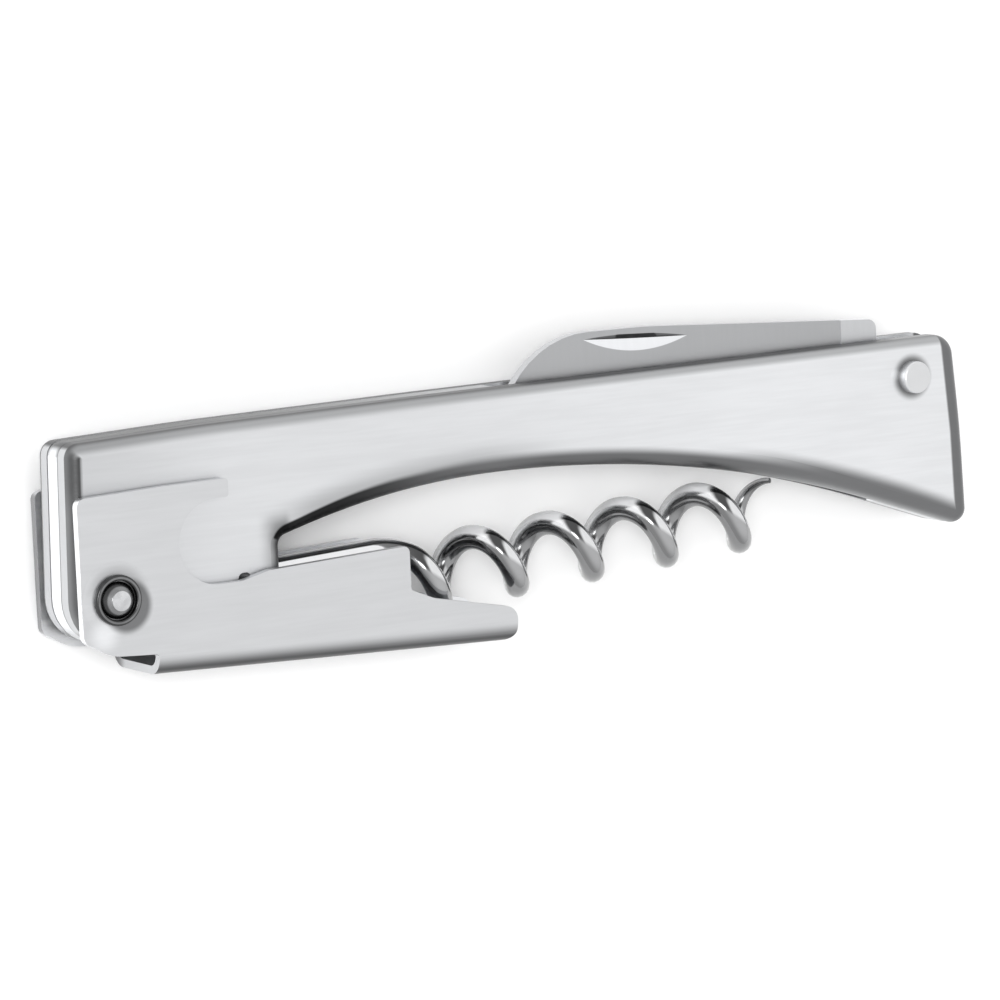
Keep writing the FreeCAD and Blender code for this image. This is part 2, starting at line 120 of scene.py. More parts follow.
def roundedLine(corners, fineness=1.6):
    # (x, y, radius) corners, anticlockwise, become points with an arc at every corner
    points = []
    for index, (x, y, radius) in enumerate(corners):
        here = Vector((x, y))
        before = (Vector(corners[index - 1][:2]) - here).normalized()
        after = (Vector(corners[(index + 1) % len(corners)][:2]) - here).normalized()
        if not radius:
            points.append(here)
            continue
        half = before.angle(after) / 2
        start = here + before * (radius / math.tan(half))
        centre = here + (before + after).normalized() * (radius / math.sin(half))
        turn = math.pi - 2 * half
        leftTurn = before.x * after.y - before.y * after.x < 0
        steps = max(3, round(turn / math.radians(9)), round(turn * radius / fineness))
        for step in range(steps + 1):
            angle = turn * step / steps * (1 if leftTurn else -1)
            points.append(centre + Matrix.Rotation(angle, 2) @ (start - centre))
    return points


def tracePoints(name, points, closed=True):
    # A plane shrunk to one point, extruded from point to point in the drawing's millimetres
    bpy.ops.object.select_all(action="DESELECT")
    bpy.ops.mesh.primitive_plane_add(size=mm, location=place(*points[0]))
    piece = bpy.context.object
    piece.name = name
    bpy.ops.object.mode_set(mode="EDIT")
    bpy.ops.mesh.select_mode(type="VERT")
    bpy.ops.mesh.select_all(action="SELECT")
    bpy.ops.mesh.merge(type="CENTER")
    for last, following in zip(points, points[1:]):
        move = (Vector(following) - Vector(last)) * mm
        if move.length > 1e-7:
            bpy.ops.mesh.extrude_region_move(TRANSFORM_OT_translate={"value": move.to_3d()})
    bpy.ops.mesh.select_all(action="SELECT")
    if closed:
        bpy.ops.mesh.edge_face_add()
    bpy.ops.object.mode_set(mode="OBJECT")
    settle(piece)
    return piece


def slab(name, outline, low, high):  # an outline as a plate between two heights
    piece = tracePoints(name, [(*point, low) for point in outline])
    pickOnly(piece)
    bpy.ops.object.mode_set(mode="EDIT")
    bpy.ops.mesh.select_all(action="SELECT")
    bpy.ops.mesh.extrude_region_move(TRANSFORM_OT_translate={"value": (0, 0, (high - low) * mm)})
    bpy.ops.object.mode_set(mode="OBJECT")
    closeUp(piece)
    return piece


def turnedPiece(name, profile, centre, steps=72):
    # A half profile of (radius, height, corner radius) spun about the pivot's axis
    line = [(centre[0] + radius, centre[1], height) for radius, height in roundedLine(profile, 0.05)]
    if profile[0][0] > 0:  # a ring's profile is closed, a pin's ends on its axis
        line.append(line[0])
    piece = tracePoints(name, line, closed=False)
    pickOnly(piece)
    bpy.ops.object.mode_set(mode="EDIT")
    bpy.ops.mesh.select_all(action="SELECT")
    bpy.ops.mesh.spin(steps=steps, angle=2 * math.pi, center=place(*centre), axis=(0, 0, 1))
    bpy.ops.object.mode_set(mode="OBJECT")
    closeUp(piece)
    return piece


def turnOver(piece):  # the same piece on the far side
    pickOnly(piece)
    bpy.ops.object.duplicate()
    other = bpy.context.object
    bpy.ops.object.mode_set(mode="EDIT")
    bpy.ops.mesh.select_all(action="SELECT")
    bpy.ops.transform.mirror(constraint_axis=(False, False, True), center_override=place(0, 0, 0))
    bpy.ops.object.mode_set(mode="OBJECT")
    closeUp(other)
    return other


def roundEdges(piece, widths, segments):
    # Edges sharper than 50 degrees rounded by widths(middle of the edge in the drawing), in millimetres
    facing = {}
    for face in piece.data.polygons:
        for key in face.edge_keys:
            facing.setdefault(key, []).append(face.normal)
    wanted = {}
    for edge in piece.data.edges:
        normals = facing[edge.key]
        if len(normals) == 2 and normals[0].angle(normals[1], 0) > math.radians(50):
            start, end = (piece.data.vertices[number].co for number in edge.vertices)
            wanted[edge.index] = widths(((start + end) / 2 - drawingOrigin) / mm)
    widest = max(wanted.values())
    weights = piece.data.attributes.new("bevel_weight_edge", "FLOAT", "EDGE")
    for number, width in wanted.items():
        weights.data[number].value = width / widest
    useModifier(piece, "BEVEL", limit_method="WEIGHT", width=widest * mm, segments=segments)


def finish(piece, body, material, nodes=(), angle=32.0, weighted=True):
    settle(piece)
    bpy.ops.object.shade_smooth_by_angle(angle=math.radians(angle))
    if weighted:
        useModifier(piece, "WEIGHTED_NORMAL", keep_sharp=True, weight=80)
    piece.data.materials.clear()
    piece.data.materials.append(material)
    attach(piece, body)
    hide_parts(*nodes)
    print("made", piece.name, len(piece.data.polygons), "faces")
    return piece


def addNode(tree, kind, **settings):
    node = tree.nodes.new(kind)
    for name, value in settings.items():
        setattr(node, name, value)
    return node


def feed(tree, socket, value):  # a number is set on the socket, another node's socket is linked to it
    if isinstance(value, (int, float)):
        socket.default_value = value
    else:
        tree.links.new(value, socket)


def mathNode(tree, operation, *values, clamp=False):
    node = addNode(tree, "ShaderNodeMath", operation=operation, use_clamp=clamp)
    for socket, value in zip(node.inputs, values):
        feed(tree, socket, value)
    return node.outputs[0]


def product(tree, *factors):
    total = factors[0]
    for factor in factors[1:]:
        total = mathNode(tree, "MULTIPLY", total, factor)
    return total


def ramp(tree, value, low, high, toLow=0.0, toHigh=1.0):
    # A soft step from toLow, where the value is low, to toHigh, where it is high
    node = addNode(tree, "ShaderNodeMapRange", interpolation_type="SMOOTHSTEP")
    for name, number in (("Value", value), ("From Min", low), ("From Max", high), ("To Min", toLow),
                         ("To Max", toHigh)):
        feed(tree, node.inputs[name], number)
    return node.outputs[0]


def blend(tree, mask, under, over):  # under where the mask is 0, over where it is 1
    node = addNode(tree, "ShaderNodeMix", data_type="FLOAT")
    for number, value in ((0, mask), (2, under), (3, over)):
        feed(tree, node.inputs[number], value)
    return node.outputs[0]


def noise(tree, vector, scale, detail):
    node = addNode(tree, "ShaderNodeTexNoise")
    node.inputs["Scale"].default_value = scale
    node.inputs["Detail"].default_value = detail
    tree.links.new(vector, node.inputs["Vector"])
    return node.outputs[0]


def surfaceNormal(tree):
    split = addNode(tree, "ShaderNodeSeparateXYZ")
    tree.links.new(addNode(tree, "ShaderNodeTexCoord").outputs["Normal"], split.inputs[0])
    return split.outputs


def awayFrom(tree, spot, centre):  # distance from a line along z, in millimetres
    squares = [mathNode(tree, "POWER", mathNode(tree, "SUBTRACT", value, middle), 2.0)
               for value, middle in zip(spot, centre)]
    return mathNode(tree, "SQRT", mathNode(tree, "ADD", *squares))


def dotWith(tree, normal, direction):
    parts = [mathNode(tree, "MULTIPLY", part, number) for part, number in zip(normal, direction)]
    return mathNode(tree, "ADD", mathNode(tree, "ADD", *parts[:2]), parts[2])


def newGroup(name, inputs, outputs):
    group = bpy.data.node_groups.new(name, "ShaderNodeTree")
    for label, value in inputs:
        group.interface.new_socket(label, in_out="INPUT", socket_type="NodeSocketFloat").default_value = value
    for label in outputs:
        group.interface.new_socket(label, in_out="OUTPUT", socket_type="NodeSocketFloat")
    return group, addNode(group, "NodeGroupInput"), addNode(group, "NodeGroupOutput")


brushing = {"fineDetail": 3.0, "fineShare": 0.62, "broadScale": 0.19, "broadDetail": 2.0,
            "contrast": (0.32, 0.68), "cloudScale": 70.0, "cloudDetail": 4.0}


def makeGrainGroup():
    # Fine parallel lines: two noises pulled out along x, in marks per metre, and faint clouds over them
    group, given, result = newGroup(
        "satinGrain", [("Along", 60.0), ("Across", 2600.0), ("Patches", 0.5)], ["Lines", "Clouds"])
    coordinates = addNode(group, "ShaderNodeTexCoord").outputs["Object"]
    stretch = addNode(group, "ShaderNodeCombineXYZ")
    for axis, name in (("X", "Along"), ("Y", "Across"), ("Z", "Across")):
        group.links.new(given.outputs[name], stretch.inputs[axis])
    scaled = addNode(group, "ShaderNodeVectorMath", operation="MULTIPLY")
    group.links.new(coordinates, scaled.inputs[0])
    group.links.new(stretch.outputs[0], scaled.inputs[1])
    fine = noise(group, scaled.outputs[0], 1.0, brushing["fineDetail"])
    broad = noise(group, scaled.outputs[0], brushing["broadScale"], brushing["broadDetail"])
    both = mathNode(group, "ADD", product(group, fine, brushing["fineShare"]),
                    product(group, broad, 1 - brushing["fineShare"]))
    group.links.new(ramp(group, both, *brushing["contrast"]), result.inputs["Lines"])
    clouds = noise(group, coordinates, brushing["cloudScale"], brushing["cloudDetail"])
    spread = mathNode(group, "SUBTRACT", clouds, 0.5)
    group.links.new(product(group, spread, given.outputs["Patches"]), result.inputs["Clouds"])
    return group


formLimits = {"level": (0.15, 0.5), "sideways": (0.58, 0.98)}


def makeFormGroup():
    # How the surface faces: Turn is 0 on the flat sides and 90 on the walls, the others mask a direction
    group, _, result = newGroup("surfaceForm", [], ["Turn", "Up", "Down", "Left", "Right"])
    x, y, z = surfaceNormal(group)
    turn = mathNode(group, "ARCCOSINE", mathNode(group, "ABSOLUTE", z))
    group.links.new(mathNode(group, "DEGREES", turn), result.inputs["Turn"])
    reach = mathNode(group, "MAXIMUM", mathNode(group, "SINE", turn), 0.001)
    across, along = mathNode(group, "DIVIDE", x, reach), mathNode(group, "DIVIDE", y, reach)
    for name, value, sign, limits in (("Up", along, 1.0, "level"), ("Down", along, -1.0, "level"),
                                      ("Left", across, -1.0, "sideways"), ("Right", across, 1.0, "sideways")):
        group.links.new(ramp(group, product(group, value, sign), *formLimits[limits]), result.inputs[name])
    return group


grainGroup = makeGrainGroup()
formGroup = makeFormGroup()
print("node groups made")


def steelFinish(name, base, roughness, grain=0.06, lines=(150.0, 2600.0), patches=0.5, cloudy=0.10, bump=0.2,
                roughGrain=0.08, shade=None):
    # base is a linear grey; grain is how much the lines lighten and darken it; shade gives a tone by place,
    # in the drawing's millimetres, and by form, which paints shade, highlights and reflections into the
    # colour
    material = bpy.data.materials.new(name)
    material.use_nodes = True
    tree = material.node_tree
    shader = tree.nodes["Principled BSDF"]
    shader.inputs["Metallic"].default_value = 1.0
    grained = addNode(tree, "ShaderNodeGroup", node_tree=grainGroup)
    for label, value in (("Along", lines[0]), ("Across", lines[1]), ("Patches", patches)):
        grained.inputs[label].default_value = value
    marks, clouds = grained.outputs["Lines"], grained.outputs["Clouds"]
    tone = mathNode(tree, "MULTIPLY_ADD", marks, grain, 1 - grain / 2)
    tone = mathNode(tree, "ADD", tone, product(tree, clouds, cloudy))
    rough = mathNode(tree, "MULTIPLY_ADD", marks, roughGrain, roughness - roughGrain / 2)
    rough = mathNode(tree, "ADD", rough, product(tree, clouds, 0.08), clamp=True)
    if shade:
        drawn = addNode(tree, "ShaderNodeVectorMath", operation="MULTIPLY_ADD")
        tree.links.new(addNode(tree, "ShaderNodeTexCoord").outputs["Object"], drawn.inputs[0])
        drawn.inputs[1].default_value = (1 / mm, 1 / mm, 1 / mm)
        drawn.inputs[2].default_value = -drawingOrigin / mm
        split = addNode(tree, "ShaderNodeSeparateXYZ")
        tree.links.new(drawn.outputs[0], split.inputs[0])
        form = addNode(tree, "ShaderNodeGroup", node_tree=formGroup)
        shaded = shade(tree, split.outputs, {socket.name: socket for socket in form.outputs})
        tone = product(tree, tone, shaded)
    colour = addNode(tree, "ShaderNodeVectorMath", operation="SCALE")
    colour.inputs[0].default_value = base
    tree.links.new(tone, colour.inputs["Scale"])
    tree.links.new(colour.outputs[0], shader.inputs["Base Color"])
    tree.links.new(rough, shader.inputs["Roughness"])
    raised = addNode(tree, "ShaderNodeBump")
    raised.inputs["Strength"].default_value = bump
    raised.inputs["Distance"].default_value = 0.02 * mm
    tree.links.new(marks, raised.inputs["Height"])
    tree.links.new(raised.outputs[0], shader.inputs["Normal"])
    return material


handle = {"half": 3.9, "middle": 1.25, "sheet": 0.9, "boss": (6.05, -4.91), "bossRadius": 4.98,
          "archTop": 3.28, "apex": 54.0, "leftRadius": 100.0, "rightRadius": 150.0, "lowRoll": 2.2,
          "topRoll": 1.45, "rollSteps": 12,
          "widenX": (29, 41), "narrowX": (89, 103), "pivotHole": 2.2, "rivetHole": 1.25,
          "eyeRoom": ((15, -8), (27, -2.6)), "eyeDepth": 0.45,
          "notch": [(19.6, -8, 0), (22.1, -8, 0), (21.9, -3.75, 0.4), (20.7, -3.75, 0.6)]}
shoulder = (14.5, -6.2, 2.0)


def bossCorner():
    # The handle's left edge and its underside run into the round boss that holds the lever's pivot
    reach = Vector(handle["boss"]) - Vector(shoulder[:2])
    slope = math.atan2(reach.y, reach.x) + math.asin(handle["bossRadius"] / reach.length)
    left = handle["boss"][0] - handle["bossRadius"]
    return left, shoulder[1] + (left - shoulder[0]) * math.tan(slope), handle["bossRadius"]


def archCorner(radius, side, endX):
    # One half of the arch, and the height of its tangent line at any x beyond it
    turn = math.asin(side * (endX - handle["apex"]) / radius)
    cornerX = handle["apex"] + side * radius * math.tan(turn / 2)
    corner = (cornerX, handle["archTop"], radius)
    return corner, lambda x: handle["archTop"] - abs(x - cornerX) * math.tan(turn)


leftArch, leftArchLine = archCorner(handle["leftRadius"], -1, 27.0)
rightArch, rightArchLine = archCorner(handle["rightRadius"], 1, 104.0)
topLine = [(45.0, 12.4, 400.0), (18.0, 12.05, 250.0), (1.75, 11.5, 1.6)]
handleLine = [
    bossCorner(), shoulder, (26.0, -6.0, 1.6), (26.0, leftArchLine(26.0), 1.1), leftArch, rightArch,
    (115.45, rightArchLine(115.45), 1.6), (115.05, 2.0, 120.0), (114.1, 12.92, 2.4), *topLine,
]


def makeShell():
    low, high = handle["middle"], handle["half"]
    shell = slab("nearShell", roundedLine(handleLine), low, high)
    lowZ, highZ = place(0, 0, low).z, place(0, 0, high).z

    # The rolled outer edge is widest along the arch
    weights = shell.data.attributes.new("bevel_weight_edge", "FLOAT", "EDGE")
    (widenFrom, widenTo), (narrowFrom, narrowTo) = handle["widenX"], handle["narrowX"]
    wall = {}
    for face in shell.data.polygons:
        if abs(face.normal.z) < 0.5:
            for key in face.edge_keys:
                wall[key] = (face.center.x - drawingOrigin.x) / mm, face.normal.y
    for edge in shell.data.edges:
        ends = [shell.data.vertices[number].co.z for number in edge.vertices]
        if min(ends) > highZ - 1e-6:
            across, facing = wall[edge.key]
            widened = (across - widenFrom) / (widenTo - widenFrom)
            narrowed = (narrowTo - across) / (narrowTo - narrowFrom)
            share = min(1.0, max(0.0, widened)) * min(1.0, max(0.0, narrowed)) * max(0.0, -facing)
            roll = handle["topRoll"] + (handle["lowRoll"] - handle["topRoll"]) * share
            weights.data[edge.index].value = roll / handle["lowRoll"]
    useModifier(shell, "BEVEL", limit_method="WEIGHT", width=handle["lowRoll"] * mm,
                segments=handle["rollSteps"], use_clamp_overlap=False)

    # The hollow: the middle side inset by the sheet's thickness and pushed in
    selectFaces(shell, lambda centre, normal: abs(centre.z - lowZ) < 1e-7 and normal.z < -0.9)
    bpy.ops.mesh.inset(thickness=handle["sheet"] * mm, depth=0, use_even_offset=True)
    bpy.ops.mesh.extrude_region_move(
        TRANSFORM_OT_translate={"value": (0, 0, (high - low - handle["sheet"]) * mm)})
    bpy.ops.object.mode_set(mode="OBJECT")

    # Room for the worm: a lower edge where its eye comes out, and the relief notch
    (left, bottom), (right, top) = handle["eyeRoom"]
    cutWith(shell, boxTool((left, bottom, low - 1), (right, top, low + handle["eyeDepth"])))
    cutWith(shell, slab("notchTool", roundedLine(handle["notch"], 0.3), low - 1, high + 1))
    cutWith(shell, roundTool(leverPivot, handle["pivotHole"], low - 1, high + 1))
    cutWith(shell, roundTool(bladePivot, handle["rivetHole"], low - 1, high + 1))
    return shell


# Painted shade and reflections on the handle. A row of four is a soft step: from, to, and the tone at either
# end, and a row of two steps from 0 to 1. Rows named Turn step over the turn of the surface in degrees, rows
# named X, Y or Z over a place in the drawing, and rows named Away over a distance, in millimetres.
archTone = {
    "crispStartX": (32.3, 44.3, 0.0, 4.0), "crispEndX": (32.3, 44.3, 11.0, 23.0),
    "crispX": (30.3, 49.3, 0.045, 0.24),
    "softTurn": (-3, 28), "softX": (49.3, 62.3, 0.34, 0.21), "lowerTurn": (30, 65, 1.0, 0.5),
    "toCrispX": (53.3, 38.3), "toRightX": (78.3, 98.3), "rightTurn": (45, 75, 0.235, 0.33),
    "wallTurn": (80, 86), "wall": 0.4,
}
topTone = {
    "rollTurn": (2, 40), "rollX": (38.3, 78.3, 1.0, 1.12), "roll": 0.56, "upperTurn": (40, 80),
    "upperX": (102.3, 108.3, 0.28, 0.5), "wallTurn": (84, 89), "wallX": (33.3, 53.3, 0.2, 0.12),
    "endX": (104.3, 107.3), "end": 0.36,
}
leftTone = {
    "startTurn": (2, 14, 1.0, 0.15), "rollTurn": (25, 80), "roll": 0.36, "rollY": (3.2, 8.2, 1.0, 0.75),
    "wallTurn": (82, 88), "wall": 1.6,
}
sideTone = {
    "flatTurn": (60, 45), "rightX": (78.3, 96.3), "rightAway": (1.6, 3.2, 0.25, 1.0),
    "overAway": (4.2, 1.6), "overStartX": (22.3, 31.3), "overEndX": (64.3, 48.3), "over": 0.66,
    "postTurn": (0, 55, 0.8, 0.2), "postX": (68.3, 58.3), "besideX": (22.94, 25.44),
    "besideEndX": (27.34, 26.34), "besideY": (2.7, 0.7), "beside": 0.6, "corner": (26.34, -0.69),
    "cornerAway": (0.6, 2.4, 0.5, 1.0), "rivetAway": (1.8, 2.9, 0.25, 1.0),
    "leftX": (0.34, 22.34, 0.86, 1.02), "lengthX": (28.34, 93.34, 1.0, 1.11),
    "edges": ((-0.0345, 115.13), (-0.087, 115.23)), "edgeAway": (2.5, 1.9), "edge": 0.26,
}


# Painted reflection on the arch's rolled edge
def archShade(tree, turn, x):  # near black at its left end, soft in the middle, an even grey on the right
    crisp = ramp(tree, turn, ramp(tree, x, *archTone["crispStartX"]), ramp(tree, x, *archTone["crispEndX"]),
                 1.0, ramp(tree, x, *archTone["crispX"]))
    soft = product(tree, ramp(tree, turn, *archTone["softTurn"], 1.0, ramp(tree, x, *archTone["softX"])),
                   ramp(tree, turn, *archTone["lowerTurn"]))
    arch = blend(tree, ramp(tree, x, *archTone["toCrispX"]), soft, crisp)
    arch = blend(tree, ramp(tree, x, *archTone["toRightX"]), arch, ramp(tree, turn, *archTone["rightTurn"]))
    return blend(tree, ramp(tree, turn, *archTone["wallTurn"]), arch, archTone["wall"])


# Painted reflection on the top's rolled edge and on the wall beside the blade
def topShade(tree, turn, x):  # a soft roll and a dark wall beside the blade
    top = product(
        tree, ramp(tree, turn, *topTone["rollTurn"], ramp(tree, x, *topTone["rollX"]), topTone["roll"]),
        ramp(tree, turn, *topTone["upperTurn"], 1.0, ramp(tree, x, *topTone["upperX"])))
    wall = blend(tree, ramp(tree, x, *topTone["endX"]), ramp(tree, x, *topTone["wallX"]), topTone["end"])
    return blend(tree, ramp(tree, turn, *topTone["wallTurn"]), top, wall)


# Painted reflection on the left end: a dark roll, and end walls painted bright
def leftShade(tree, turn, y):  # a dark roll beside the bright end walls
    left = blend(tree, ramp(tree, turn, *leftTone["rollTurn"]), ramp(tree, turn, *leftTone["startTurn"]),
                 leftTone["roll"])
    left = product(tree, left, ramp(tree, y, *leftTone["rollY"]))
    return blend(tree, ramp(tree, turn, *leftTone["wallTurn"]), left, leftTone["wall"])


def overArch(tree, spot):  # height over the arch's two circles
    heights = []
    for radius in (handle["leftRadius"], handle["rightRadius"]):
        away = awayFrom(tree, spot, (handle["apex"], handle["archTop"] - radius))
        heights.append(mathNode(tree, "SUBTRACT", away, radius))
    return blend(tree, ramp(tree, spot[0], handle["apex"] - 0.05, handle["apex"] + 0.05), *heights)


def handleShade(tree, spot, form):
    # Painted reflections darken the rolled edges against the brushed sides
    turn, (x, y) = form["Turn"], spot[:2]
    post = blend(tree, product(tree, form["Right"], ramp(tree, x, *sideTone["postX"])), 2.0,
                 ramp(tree, turn, *sideTone["postTurn"]))
    arch = blend(tree, form["Down"], 2.0, archShade(tree, turn, x))
    tone = blend(tree, form["Up"], 1.0, topShade(tree, turn, x))
    tone = mathNode(tree, "MINIMUM", mathNode(tree, "MINIMUM", tone, post), arch)
    tone = blend(tree, form["Left"], tone, leftShade(tree, turn, y))
    # Painted shade on the flat sides: over the arch, beside the post, round the blade's rivet and along the
    # right end, and painted light that grows along the handle from its left end
    flat = ramp(tree, turn, *sideTone["flatTurn"])
    height = overArch(tree, spot)
    right = blend(tree, product(tree, flat, ramp(tree, x, *sideTone["rightX"])), 1.0,
                  ramp(tree, height, *sideTone["rightAway"]))
    over = product(tree, ramp(tree, height, *sideTone["overAway"]), ramp(tree, x, *sideTone["overStartX"]),
                   ramp(tree, x, *sideTone["overEndX"]), flat)
    beside = product(tree, ramp(tree, x, *sideTone["besideX"]), ramp(tree, x, *sideTone["besideEndX"]),
                     ramp(tree, y, *sideTone["besideY"]))
    corner = ramp(tree, awayFrom(tree, spot, sideTone["corner"]), *sideTone["cornerAway"])
    rivet = ramp(tree, awayFrom(tree, spot, bladePivot), *sideTone["rivetAway"])
    ends = [mathNode(tree, "MULTIPLY_ADD", y, slope, start) for slope, start in sideTone["edges"]]
    inwards = mathNode(tree, "SUBTRACT", mathNode(tree, "MINIMUM", *ends), x)
    tone = product(tree, mathNode(tree, "MINIMUM", tone, right), blend(tree, over, 1.0, sideTone["over"]),
                   blend(tree, beside, 1.0, sideTone["beside"]), blend(tree, flat, 1.0, corner), rivet,
                   ramp(tree, x, *sideTone["leftX"]), ramp(tree, x, *sideTone["lengthX"]))
    edge = blend(tree, ramp(tree, inwards, *sideTone["edgeAway"]), 2.0, sideTone["edge"])
    return mathNode(tree, "MINIMUM", tone, edge)


handleSteel = steelFinish("brushedHandleSteel", (0.70, 0.708, 0.722), 0.42, grain=0.05, shade=handleShade)
nearShell = makeShell()
farShell = turnOver(nearShell)
farShell.name = "farShell"
finish(nearShell, "handle", handleSteel, ["near_shell"])
finish(farShell, "handle", handleSteel, ["far_shell"])

layerTone = {"topX": (18.3, 68.3, 0.22, 0.9), "leftTurn": (80, 88, 0.6, 1.6)}


# Painted reflections on the spine plate: its top edge dark towards the left end, its left walls light and
# their rounded edges dark
def layerShade(tree, spot, form):
    tone = blend(tree, form["Up"], 1.0, ramp(tree, spot[0], *layerTone["topX"]))
    return blend(tree, form["Left"], tone, ramp(tree, form["Turn"], *layerTone["leftTurn"]))


layerSteel = steelFinish("satinLayerSteel", (0.60, 0.607, 0.62), 0.36, grain=0.06, shade=layerShade)
layer = {"half": 1.2, "edge": 0.22, "blockX": 13.3, "endX": 55.3}
boss = bossCorner()
slope = (shoulder[1] - boss[1]) / (shoulder[0] - boss[0])
spineLine = [
    boss, (layer["blockX"], shoulder[1] + (layer["blockX"] - shoulder[0]) * slope, 0.5),
    (layer["blockX"], 9.6, 2.0), (layer["endX"], 9.9, 1.2), (layer["endX"], 12.49, 1.3), *topLine,
]
spinePlate = slab("spinePlate", roundedLine(spineLine), -layer["half"], layer["half"])
useModifier(spinePlate, "BEVEL", limit_method="ANGLE", angle_limit=math.radians(50),
            width=layer["edge"] * mm, segments=3)
finish(spinePlate, "handle", layerSteel, ["spine_plate"])
print("handle made")

lever = {"half": 5.2, "sheet": 0.9, "bend": 2.1, "left": -3.0, "length": 60.0, "height": 26.0, "web": -12.79,
         "tilt": -2.12, "hook": 4.48, "hookX": 17.6, "edge": 0.18, "leftEdge": 0.55}
hookLeft = lever["hookX"] - lever["hook"]
leverLine = [
    (1.55, -8.7, 1.2), (4.9, -10.5, 4.0), (10.15, -10.85, 0.4), (10.15, -13.6, 0), (53.62, -14.77, 1.2),
    (53.75, -11.1, 1.6), (43.4, -8.9, 4.0), (40.6, -7.7, 0.3), (40.6, -2.95, 0.7), (23.6, -3.62, 2.5),
    (20.2, -4.4, 3.0),
    (hookLeft, -4.4, lever["hook"]), (hookLeft, 4.58, lever["hook"]), (19.2, 4.58, 0.4), (19.2, 6.55, 0.4),
    (11.3, 6.45, 10.0), (1.55, 6.1, 0.9),
]


def leverEdge(spot):  # the cheeks are rounder along their left edge
    return lever["leftEdge"] if spot.x < 1.8 and abs(spot.z) > 5 else lever["edge"]


def makeLever():
    tilt = math.radians(lever["tilt"])
    along = Vector((math.cos(tilt), math.sin(tilt)))
    up = Vector((-along.y, along.x))
    corner = Vector((0, lever["web"]))
    middle = corner + along * (lever["left"] + lever["length"] / 2) + up * lever["height"] / 2
    bpy.ops.object.select_all(action="DESELECT")
    bpy.ops.mesh.primitive_cube_add(
        size=1, location=place(*middle), rotation=(0, 0, tilt),
        scale=(lever["length"] * mm, lever["height"] * mm, 2 * lever["half"] * mm))
    channel = bpy.context.object
    channel.name = "leverChannel"
    settle(channel)
    upwards = Vector((*up, 0))
    sideways = Vector((*along, 0))
    selectFaces(channel, lambda centre, normal: normal.dot(upwards) > 0.9 or abs(normal.dot(sideways)) > 0.9)
    bpy.ops.mesh.delete(type="FACE")  # leaves the web and the two cheeks
    bpy.ops.object.mode_set(mode="OBJECT")
    useModifier(channel, "BEVEL", limit_method="ANGLE", width=lever["bend"] * mm, segments=12)
    useModifier(channel, "SOLIDIFY", thickness=lever["sheet"] * mm, offset=-1, use_even_offset=True)
    closeUp(channel)
    cutWith(channel, slab("leverSide", roundedLine(leverLine), -8, 8), "INTERSECT")
    roundEdges(channel, leverEdge, 3)
    return channel


leverTone = {
    "foldTurn": (-4, 50, 1.0, 0.1), "webTurn": (81, 89, 0.0, 0.75), "foldY": (-9.39, -10.19),
    "edgeTurn": (20, 40), "edgeZ": (-4.35, -2.35, 0.5, 1.5), "edgeY": (-9.29, -10.29, 1.0, 0.62),
    "crescent": (6.7, -5.4), "crescentAway": (2.3, 3.2, 0.33, 1.0), "light": (3.95, -8.15),
    "lightAway": (0.3, 2.3, 1.32, 1.0), "aboveAway": (4.2, 2.6), "aboveY": (-5.15, -2.15), "above": 0.7,
    "faceZ": (5.0, 5.1), "insideZ": (4.45, 4.35), "insideTurn": (30, 15), "inside": 1.5,
}


def leverShade(tree, spot, form):
    turn, (x, y, z) = form["Turn"], spot
    # Painted reflection: the fold darkens down to the web, which is light again
    fold = mathNode(tree, "MAXIMUM", ramp(tree, turn, *leverTone["foldTurn"]),
                    ramp(tree, turn, *leverTone["webTurn"]))
    fold = blend(tree, ramp(tree, y, *leverTone["foldY"]), 1.0, fold)
    # Painted light and shade on the cheeks' left edges: light on the near cheek, dark on the far one and at
    # the mouth
    side = product(tree, ramp(tree, z, *leverTone["edgeZ"]), ramp(tree, y, *leverTone["edgeY"]))
    tone = blend(tree, form["Down"], 1.0, fold)
    tone = blend(tree, product(tree, form["Left"], ramp(tree, turn, *leverTone["edgeTurn"])), tone, side)
    # Painted round the pivot: a dark crescent of shadow at the lower right, a light spot at the lower left,
    # shade above
    crescent = ramp(tree, awayFrom(tree, spot, leverTone["crescent"]), *leverTone["crescentAway"])
    light = ramp(tree, awayFrom(tree, spot, leverTone["light"]), *leverTone["lightAway"])
    above = product(tree, ramp(tree, awayFrom(tree, spot, leverPivot), *leverTone["aboveAway"]),
                    ramp(tree, y, *leverTone["aboveY"]))
    depth = mathNode(tree, "ABSOLUTE", z)
    spots = product(tree, crescent, light, blend(tree, above, 1.0, leverTone["above"]))
    # Painted light on the cheeks' inner sides
    inside = product(tree, ramp(tree, depth, *leverTone["insideZ"]),
                     ramp(tree, turn, *leverTone["insideTurn"]))
    return product(tree, tone, blend(tree, ramp(tree, depth, *leverTone["faceZ"]), 1.0, spots),
                   blend(tree, inside, 1.0, leverTone["inside"]))


leverSteel = steelFinish("brushedLeverSteel", (0.645, 0.652, 0.665), 0.40, grain=0.05, shade=leverShade)
leverChannel = makeLever()
finish(leverChannel, "lever", leverSteel, ["lever_channel"])

pivotTone = {"flatTurn": (12, 5), "coneZ": (5.89, 6.05, 0.16, 0.6), "flatZ": (6.25, 6.31, 0.5, 1.5)}


# Painted reflections on the ring and on the rivet's head
def pivotShade(tree, spot, form):  # the ring and the head's cone are dark, the head's flat top is light
    return blend(tree, ramp(tree, form["Turn"], *pivotTone["flatTurn"]),
                 ramp(tree, spot[2], *pivotTone["coneZ"]), ramp(tree, spot[2], *pivotTone["flatZ"]))


